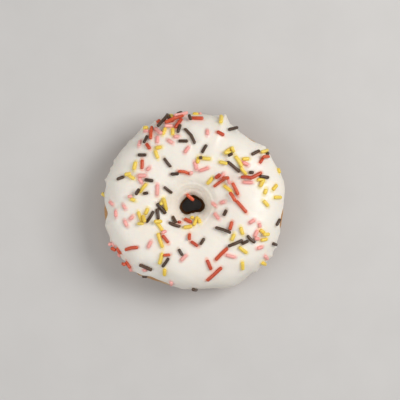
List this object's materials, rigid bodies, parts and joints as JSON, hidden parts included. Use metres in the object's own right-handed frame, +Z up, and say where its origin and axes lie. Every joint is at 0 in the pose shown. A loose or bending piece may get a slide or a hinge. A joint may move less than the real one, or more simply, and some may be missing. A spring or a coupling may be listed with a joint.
{
  "type": "ring doughnut",
  "caption": "Flat-lying fried ring doughnut with a central hole, a thin white icing shell over its top half and short sugar strands scattered on the icing.",
  "frame": {"origin": "centre of the part's box in plan, on the plane it rests on (z = 0)", "axes": "+Z up through the hole, +X to the right and +Y to the top when the ring is seen from above"},
  "size_m": [0.0918, 0.0904, 0.0354],
  "materials": {
    "fried_crust": "matt golden-brown fried crust",
    "white_icing": "satin warm white sugar icing",
    "sugar_red": "satin red sugar",
    "sugar_brown": "satin dark brown sugar",
    "sugar_yellow": "satin yellow sugar",
    "sugar_pink": "satin pink sugar"
  },
  "bodies": {
    "root": {"dough_ring": "fried_crust", "white_icing": "white_icing", "strand_red_01": "sugar_red", "strand_red_02": "sugar_red", "strand_red_03": "sugar_red", "strand_red_04": "sugar_red", "strand_red_05": "sugar_red", "strand_red_06": "sugar_red", "strand_red_07": "sugar_red", "strand_red_08": "sugar_red", "strand_red_09": "sugar_red", "strand_red_10": "sugar_red", "strand_red_11": "sugar_red", "strand_red_12": "sugar_red", "strand_red_13": "sugar_red", "strand_red_14": "sugar_red", "strand_red_15": "sugar_red", "strand_red_16": "sugar_red", "strand_red_17": "sugar_red", "strand_brown_01": "sugar_brown", "strand_brown_02": "sugar_brown", "strand_brown_03": "sugar_brown", "strand_brown_04": "sugar_brown", "strand_brown_05": "sugar_brown", "strand_brown_06": "sugar_brown", "strand_brown_07": "sugar_brown", "strand_brown_08": "sugar_brown", "strand_brown_09": "sugar_brown", "strand_brown_10": "sugar_brown", "strand_brown_11": "sugar_brown", "strand_brown_12": "sugar_brown", "strand_brown_13": "sugar_brown", "strand_brown_14": "sugar_brown", "strand_brown_15": "sugar_brown", "strand_brown_16": "sugar_brown", "strand_brown_17": "sugar_brown", "strand_brown_18": "sugar_brown", "strand_brown_19": "sugar_brown", "strand_brown_20": "sugar_brown", "strand_yellow_01": "sugar_yellow", "strand_yellow_02": "sugar_yellow", "strand_yellow_03": "sugar_yellow", "strand_yellow_04": "sugar_yellow", "strand_yellow_05": "sugar_yellow", "strand_yellow_06": "sugar_yellow", "strand_yellow_07": "sugar_yellow", "strand_yellow_08": "sugar_yellow", "strand_yellow_09": "sugar_yellow", "strand_yellow_10": "sugar_yellow", "strand_yellow_11": "sugar_yellow", "strand_yellow_12": "sugar_yellow", "strand_pink_01": "sugar_pink", "strand_pink_02": "sugar_pink", "strand_pink_03": "sugar_pink", "strand_pink_04": "sugar_pink", "strand_pink_05": "sugar_pink", "strand_pink_06": "sugar_pink", "strand_pink_07": "sugar_pink"}
  },
  "joints": []
}
